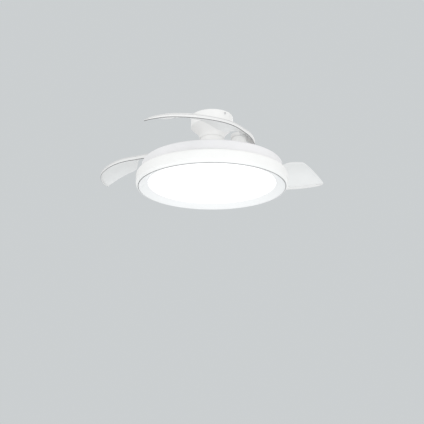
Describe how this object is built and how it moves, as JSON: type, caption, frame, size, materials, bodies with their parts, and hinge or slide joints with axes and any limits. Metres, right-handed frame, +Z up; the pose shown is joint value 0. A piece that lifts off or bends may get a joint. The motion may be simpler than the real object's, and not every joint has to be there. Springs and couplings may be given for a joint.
{
  "type": "retractable blade ceiling fan",
  "caption": "Flush-mounted ceiling fan with curved blades that fold over a round lamp drum, hanging from a cup-shaped canopy.",
  "frame": {"origin": "middle of the ceiling bracket's top face, on the ceiling plane; the fan hangs below it", "axes": "+Z up along the fan axis; X to the right and Y away from the viewer of the picture"},
  "size_m": [0.8298, 0.6543, 0.26],
  "materials": {
    "white_paint": "satin white powder coat",
    "tier_paint": "satin pale grey-white powder coat",
    "blade_white": "moulded white ABS, satin gloss",
    "opal": "opal acrylic diffuser, lit from behind",
    "steel": "zinc-plated steel",
    "dark_steel": "blackened steel",
    "copper": "enamelled copper wire, wound",
    "bronze": "oil-filled sintered bronze",
    "magnet": "ferrite magnet ring",
    "board": "white coated aluminium",
    "case_plastic": "light grey moulded case",
    "rubber": "rubber-sleeved stop"
  },
  "bodies": {
    "ceiling_and_lamp": {"ceiling_bracket": "steel", "canopy": "white_paint", "canopy_screw_1": "steel", "canopy_screw_2": "steel", "terminal_block": "case_plastic", "receiver": "case_plastic", "downrod": "white_paint", "rod_pin": "steel", "coupling": "dark_steel", "coupling_pin": "steel", "shaft_pin": "steel", "neck_cover": "white_paint", "cover_clip": "steel", "motor_shaft": "steel", "stator_core": "dark_steel", "winding_upper": "copper", "winding_lower": "copper", "bearing_upper": "steel", "bearing_lower": "steel", "light_pan": "white_paint", "pan_nut": "steel", "led_tray": "board", "led_board": "board", "led_driver": "case_plastic", "trim_ring": "white_paint", "diffuser": "opal"},
    "rotor": {"rotor_top_shell": "steel", "rotor_bottom_shell": "steel", "magnet_ring": "magnet", "blade_carrier": "tier_paint", "carrier_screw_1": "steel", "carrier_screw_2": "steel", "carrier_screw_3": "steel", "pivot_pin_1": "steel", "return_spring_1": "steel", "stop_pin_1": "rubber", "pivot_pin_2": "steel", "return_spring_2": "steel", "stop_pin_2": "rubber", "pivot_pin_3": "steel", "return_spring_3": "steel", "stop_pin_3": "rubber"},
    "blade_1_assembly": {"blade_1": "blade_white", "blade_hub_1": "white_paint", "hub_bush_1": "bronze", "blade_screw_1_1": "steel", "blade_screw_1_2": "steel"},
    "blade_2_assembly": {"blade_2": "blade_white", "blade_hub_2": "white_paint", "hub_bush_2": "bronze", "blade_screw_2_1": "steel", "blade_screw_2_2": "steel"},
    "blade_3_assembly": {"blade_3": "blade_white", "blade_hub_3": "white_paint", "hub_bush_3": "bronze", "blade_screw_3_1": "steel", "blade_screw_3_2": "steel"}
  },
  "joints": [
    {"name": "fan_spin", "type": "hinge", "parent": "ceiling_and_lamp", "child": "rotor", "pos_m": [0, 0, -0.18], "axis": [0, 0, 1], "continuous": true},
    {"name": "blade_1_swing", "type": "hinge", "parent": "rotor", "child": "blade_1_assembly", "pos_m": [0.08507, -0.17213, -0.16], "axis": [0, 0, 1], "range_deg": [-51, 46], "stiffness_Nm_per_rad": 0.02, "springref_deg": -51},
    {"name": "blade_2_swing", "type": "hinge", "parent": "rotor", "child": "blade_2_assembly", "pos_m": [0.10653, 0.15973, -0.16], "axis": [0, 0, 1], "range_deg": [-95, 2], "stiffness_Nm_per_rad": 0.02, "springref_deg": -95},
    {"name": "blade_3_swing", "type": "hinge", "parent": "rotor", "child": "blade_3_assembly", "pos_m": [-0.1916, 0.01239, -0.16], "axis": [0, 0, 1], "range_deg": [-91, 6], "stiffness_Nm_per_rad": 0.02, "springref_deg": -91}
  ]
}
